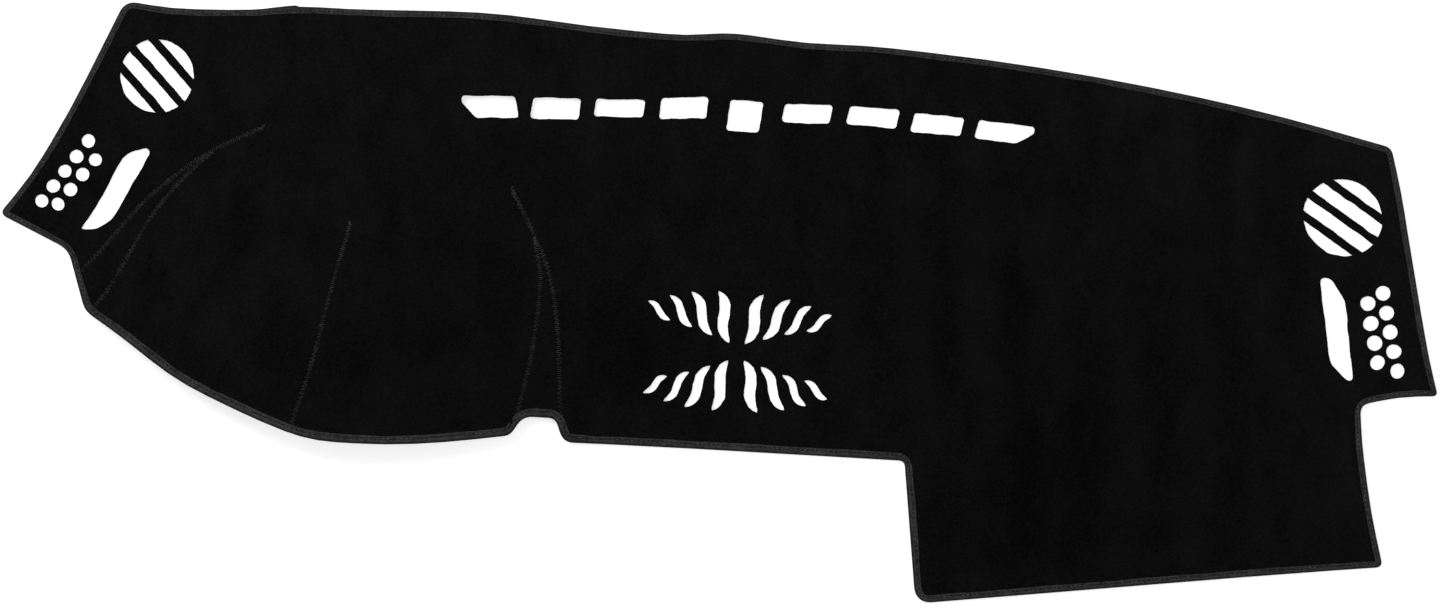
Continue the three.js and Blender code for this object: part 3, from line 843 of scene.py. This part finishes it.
class Value:
    """A socket of a shader that can be used in sums."""

    def __init__(self, shader, socket):
        self.shader = shader
        self.socket = socket

    def maths(self, operation, *inputs):
        return self.shader.node("ShaderNodeMath", {"operation": operation}, dict(enumerate(inputs)))

    def __add__(self, other):
        return self.maths("ADD", self, other)

    def __sub__(self, other):
        return self.maths("SUBTRACT", self, other)

    def __mul__(self, other):
        return self.maths("MULTIPLY", self, other)

    def sine(self):
        return self.maths("SINE", self)


class Shader:
    """A material's nodes, made by kind, settings and inputs."""

    def __init__(self, name):
        self.material = bpy.data.materials.new(name)
        self.material.use_nodes = True
        self.tree = self.material.node_tree
        self.surface = self.tree.nodes["Principled BSDF"]

    def node(self, kind, settings=None, inputs=None, output=0):
        made = self.tree.nodes.new(kind)
        for name, value in (settings or {}).items():
            setattr(made, name, value)
        for name, value in (inputs or {}).items():
            if isinstance(value, Value):
                self.tree.links.new(value.socket, made.inputs[name])
            else:
                made.inputs[name].default_value = value
        return Value(self, made.outputs[output])

    def mix(self, factor, low, high):
        """A colour between two others."""
        inputs = {0: factor, 6: rgba(low), 7: rgba(high)}
        return self.node("ShaderNodeMix", {"data_type": "RGBA", "clamp_factor": True}, inputs, 2)

    def noise(self, vector, scale, detail, roughness):
        inputs = {"Vector": vector, "Scale": scale, "Detail": detail, "Roughness": roughness}
        return self.node("ShaderNodeTexNoise", None, inputs)

    def bump(self, height, strength, distance):
        """A normal bent by a height."""
        inputs = {"Strength": strength, "Distance": distance, "Height": height}
        return self.node("ShaderNodeBump", None, inputs, "Normal")

    def attribute(self, name):
        return self.node("ShaderNodeAttribute", {"attribute_name": name}, None, "Fac")

    def scaled(self, vector, scale):
        return self.node("ShaderNodeMapping", None, {"Vector": vector, "Scale": scale})

    def finish(self, constants, links):
        """Sets the shader's own sockets and links what varies."""
        for name, value in constants.items():
            self.surface.inputs[name].default_value = value
        for name, value in links.items():
            self.tree.links.new(value.socket, self.surface.inputs[name])
        return self.material


def rgba(colour):
    return colour if isinstance(colour, Value) else (*colour, 1)


def grey(level):
    return (level, level, level)


def pile_material():
    """Black short pile: patches where the nap lies differently, with painted shade in the ripples' troughs
    and painted light on their crests, over fine tufts and fibres.
    """
    shader = Shader("Black pile")
    place = shader.node("ShaderNodeTexCoord", None, None, "Object")
    patches = shader.noise(shader.scaled(place, (34, 22, 30)), 1.0, 3.0, 0.6)
    tufts = shader.noise(place, 380, 3.0, 0.65)
    fibres = shader.noise(place, 1500, 2.0, 0.6)
    # The plan's tone brings painted shade in the ripples' troughs and painted light on their crests
    tone = shader.attribute("nap_and_fold_shade") + (patches - 0.5) * 0.8 + (tufts - 0.5) * 1.3 + (fibres - 0.5) * 1.6
    pile = shader.mix(tone, grey(0.0009), grey(0.0062))
    knit = shader.node("ShaderNodeTexVoronoi", None, {"Vector": place, "Scale": 620}, "Distance")
    back = shader.mix(knit, grey(0.012), grey(0.006))
    colour = shader.mix(shader.attribute("underside"), pile, back)
    height = tufts * 0.6 + fibres * 0.4
    bump = shader.bump(height, 0.8, 0.7 * MM)
    constants = {"Roughness": 1.0, "Specular IOR Level": 0.03, "Sheen Weight": 0.12, "Sheen Roughness": 0.3}
    return shader.finish(constants, {"Base Color": colour, "Normal": bump})


def tape_material():
    """Dark grey woven tape: lighter on its raised ridges, with painted shade in its folds and grooves."""
    shader = Shader("Woven tape")
    place = shader.node("ShaderNodeTexCoord", None, None, "Object")
    along, around = shader.attribute("along"), shader.attribute("around")
    turns = 2 * math.pi / WEAVE_PITCH
    twill = (along * turns + around * (turns * 0.8)).sine()
    cloth = shader.node("ShaderNodeCombineXYZ", None, {"X": along * 260, "Y": around * 700})
    streaks = shader.noise(cloth, 1.0, 2.0, 0.6)
    creases = shader.noise(place, 170, 2.0, 0.6)
    slow = shader.noise(place, 26, 2.0, 0.5)
    wear = (streaks - 0.5) * 1.3 + (creases - 0.5) * 1.5 + (slow - 0.5) * 0.7
    # The section's tone brings painted shade in the tape's folds, groove and cut end
    tone = shader.attribute("ridge_tone_and_fold_shade") * 0.62 + wear + twill * 0.13 + 0.06
    colour = shader.mix(tone, grey(0.003), grey(0.037))
    height = twill * 0.2 + streaks * 0.8 + creases * 0.6
    bump = shader.bump(height, 0.7, 0.3 * MM)
    constants = {"Roughness": 0.85, "Specular IOR Level": 0.2, "Sheen Weight": 0.04}
    return shader.finish(constants, {"Base Color": colour, "Normal": bump})


def thread_material(name, low, high, stitch_scale):
    """Twisted thread, with stitches that lie lighter or darker."""
    shader = Shader(name)
    place = shader.node("ShaderNodeTexCoord", None, None, "Object")
    each = shader.noise(place, stitch_scale, 1.0, 0.5)
    stretches = shader.noise(place, 42, 2.0, 0.5)
    strands = shader.noise(place, 1100, 2.0, 0.5)
    tone = (each - 0.5) * 2.6 + (stretches - 0.5) * 1.6 + 0.45
    colour = shader.mix(tone, grey(low), grey(high))
    bump = shader.bump(strands, 0.4, 0.2 * MM)
    constants = {"Roughness": 0.6, "Specular IOR Level": 0.3}
    return shader.finish(constants, {"Base Color": colour, "Normal": bump})


# The pieces

STITCHES = stitch_tree()
pile = pile_material()
tape = tape_material()
seam_thread = thread_material("Seam thread", 0.003, 0.024, 230)
edge_thread = thread_material("Edge thread", 0.004, 0.055, 120)

outer_edge, inner_edge = tape_lines()
edge_tape = tape_piece(outer_edge, inner_edge)
edge_tape.data.materials.append(tape)
edge_stitches = stitches(
    "edge_stitches",
    tape_stitch_lines(outer_edge, inner_edge),
    True,
    edge_thread,
    Pitch=STITCH_PITCH,
    Length=3.4 * MM,
    Width=1.05 * MM,
    Height=0.8 * MM,
    Jitter=0.25,
    Unevenness=0.25,
)
seam_pieces = {}
for node, line in seam_lines.items():
    seam_pieces[node] = stitches(
        node.replace("seam", "stitches"),
        seam_stitch_lines(line),
        False,
        seam_thread,
        Pitch=2.1 * MM,
        Length=4.9 * MM,
        Width=0.85 * MM,
        Height=0.65 * MM,
        Jitter=0.28,
        Unevenness=0.3,
    )

# Flat sizes of the cut cloth, width and length, and its area, in metres
FLAT = {
    "mat_panel": ((0.600, 1.435), 0.545),
    "hood_gusset_driver": ((0.042, 0.205), 0.0036),
    "hood_gusset_console": ((0.046, 0.189), 0.0039),
}
for node in FLAT:
    piece = fabric_piece(node)
    piece.data.materials.append(pile)
    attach(piece, "root")
    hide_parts(node)

for node, piece in {"edge_stitching": edge_stitches, **seam_pieces}.items():
    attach(piece, "root")
    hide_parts(node)
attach(edge_tape, "root")
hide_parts("edge_binding")

tape_length = float(loop_length(outer_edge))
for node, (flat, area) in FLAT.items():
    with_pieces = list(seam_pieces.values()) if node == "mat_panel" else []


# Floor, light and camera

FLOOR_SIZE = 12
FLOOR_GLOW = 0.55
WORLD_LIGHT = 0.55
FRAME_WIDTH = 1.440
FRAME_CENTRE = (0.0004, 0)
CAMERA_HEIGHT = 16
SENSOR_WIDTH = 36


def floor():
    """A pale floor that keeps the mat's shadow and shows white to the camera."""
    bpy.ops.mesh.primitive_plane_add(size=FLOOR_SIZE)
    plane = bpy.context.object
    plane.name = "floor"
    shader = Shader("Pale floor")
    shader.finish({"Base Color": (0.82, 0.82, 0.82, 1), "Roughness": 1.0, "Specular IOR Level": 0.0}, {})
    seen = shader.node("ShaderNodeLightPath", None, None, "Is Camera Ray")
    for ray in ("Is Glossy Ray", "Is Transmission Ray"):
        seen = seen + shader.node("ShaderNodeLightPath", None, None, ray)
    glow = shader.node("ShaderNodeEmission", None, {"Color": (1, 1, 1, 1), "Strength": seen * FLOOR_GLOW})
    both = shader.tree.nodes.new("ShaderNodeAddShader")
    shader.tree.links.new(shader.surface.outputs[0], both.inputs[0])
    shader.tree.links.new(glow.socket, both.inputs[1])
    shader.tree.links.new(both.outputs[0], shader.tree.nodes["Material Output"].inputs["Surface"])
    plane.data.materials.append(shader.material)


def area_light(name, place, size, power):
    light = bpy.data.lights.new(name, "AREA")
    light.size = size
    light.energy = power
    lamp = bpy.data.objects.new(name, light)
    lamp.location = place
    lamp.rotation_euler = (-Vector(place)).to_track_quat("-Z", "Y").to_euler()
    bpy.context.scene.collection.objects.link(lamp)


def studio():
    """Soft light from all round, with a large lamp beyond the windscreen edge."""
    world = bpy.data.worlds.new("Studio")
    bpy.context.scene.world = world
    world.use_nodes = True
    nodes, links = world.node_tree.nodes, world.node_tree.links
    background = nodes["Background"]
    path = nodes.new("ShaderNodeLightPath")
    strength = nodes.new("ShaderNodeMapRange")
    strength.inputs["To Min"].default_value = WORLD_LIGHT
    strength.inputs["To Max"].default_value = 1.0
    links.new(path.outputs["Is Camera Ray"], strength.inputs["Value"])
    links.new(strength.outputs["Result"], background.inputs["Strength"])
    background.inputs["Color"].default_value = (1, 1, 1, 1)
    area_light("Key light", (-1.6, 1.7, 2.6), size=1.6, power=60)
    area_light("Fill light", (1.8, -1.2, 2.8), size=2.4, power=16)


def camera():
    """Straight above the mat, as the photograph is taken."""
    lens = SENSOR_WIDTH * CAMERA_HEIGHT / FRAME_WIDTH
    data = bpy.data.cameras.new("Camera")
    data.sensor_width = SENSOR_WIDTH
    data.lens = lens
    data.clip_end = 4 * CAMERA_HEIGHT
    eye = bpy.data.objects.new("Camera", data)
    eye.location = (*FRAME_CENTRE, CAMERA_HEIGHT)
    bpy.context.scene.collection.objects.link(eye)
    bpy.context.scene.camera = eye


floor()
studio()
camera()
bpy.context.scene.view_settings.view_transform = "Standard"
